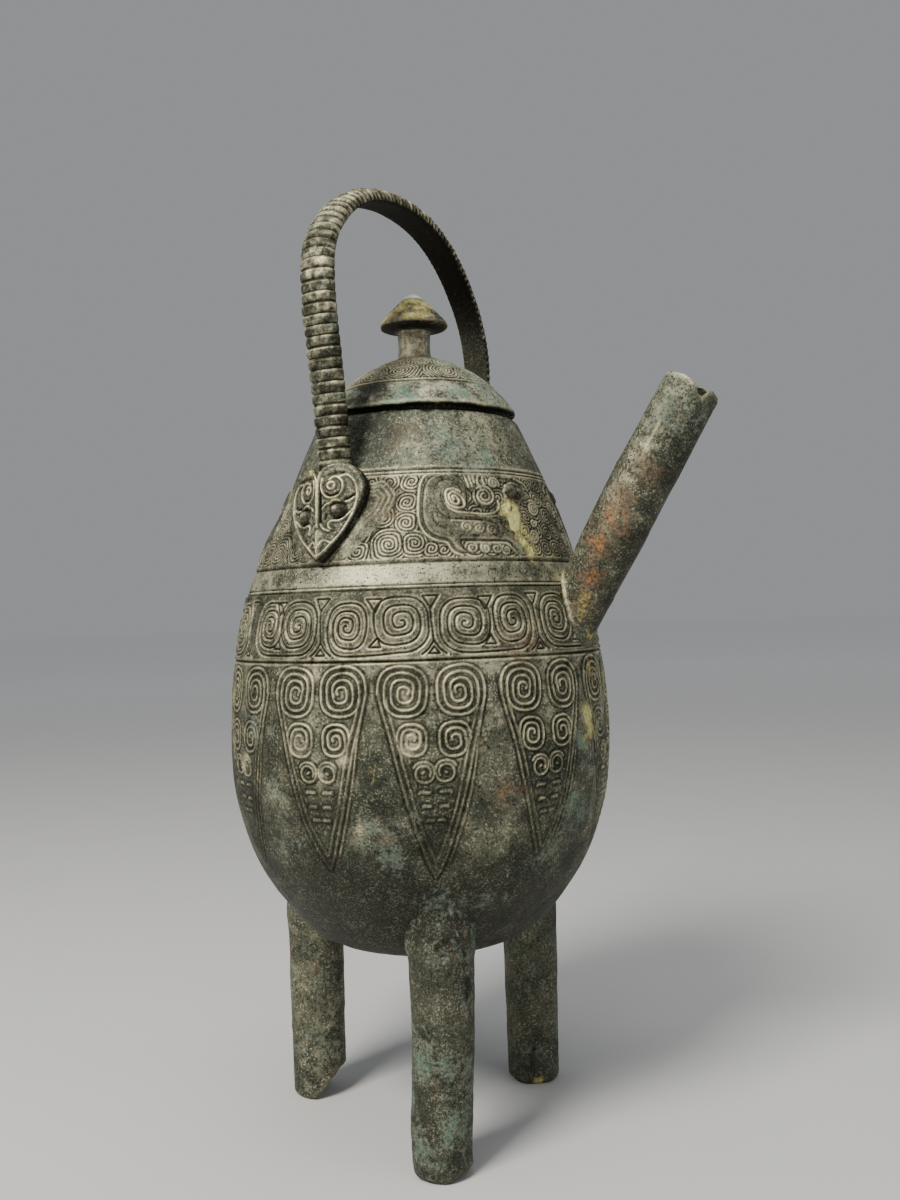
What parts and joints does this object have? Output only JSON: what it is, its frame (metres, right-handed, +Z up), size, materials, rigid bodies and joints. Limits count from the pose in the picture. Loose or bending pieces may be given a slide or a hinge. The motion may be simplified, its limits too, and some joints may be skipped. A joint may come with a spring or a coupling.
{
  "type": "lidded tripod ewer",
  "caption": "Ancient-style cast bronze pouring vessel: egg-shaped belly on a tripod of straight legs, slanting tube spout, arched strap handle and a loose domed lid with a mushroom knob.",
  "frame": {"origin": "centre of the bounding box's base, on the ground under the feet; the vessel's turning axis stands 24.6 mm towards -X of it", "axes": "+Z up along the vessel; +X towards the spout; the handle arches in the Y direction, from one mask to the other"},
  "size_m": [0.1916, 0.1424, 0.3472],
  "materials": {
    "vessel_bronze": "ancient bronze with dark olive patina, pale worn relief edges and green and red-brown corrosion",
    "lid_bronze": "ancient bronze with dark green patina and malachite patches on the border"
  },
  "bodies": {
    "root": {"vessel": "vessel_bronze", "lid": "lid_bronze"}
  },
  "joints": []
}
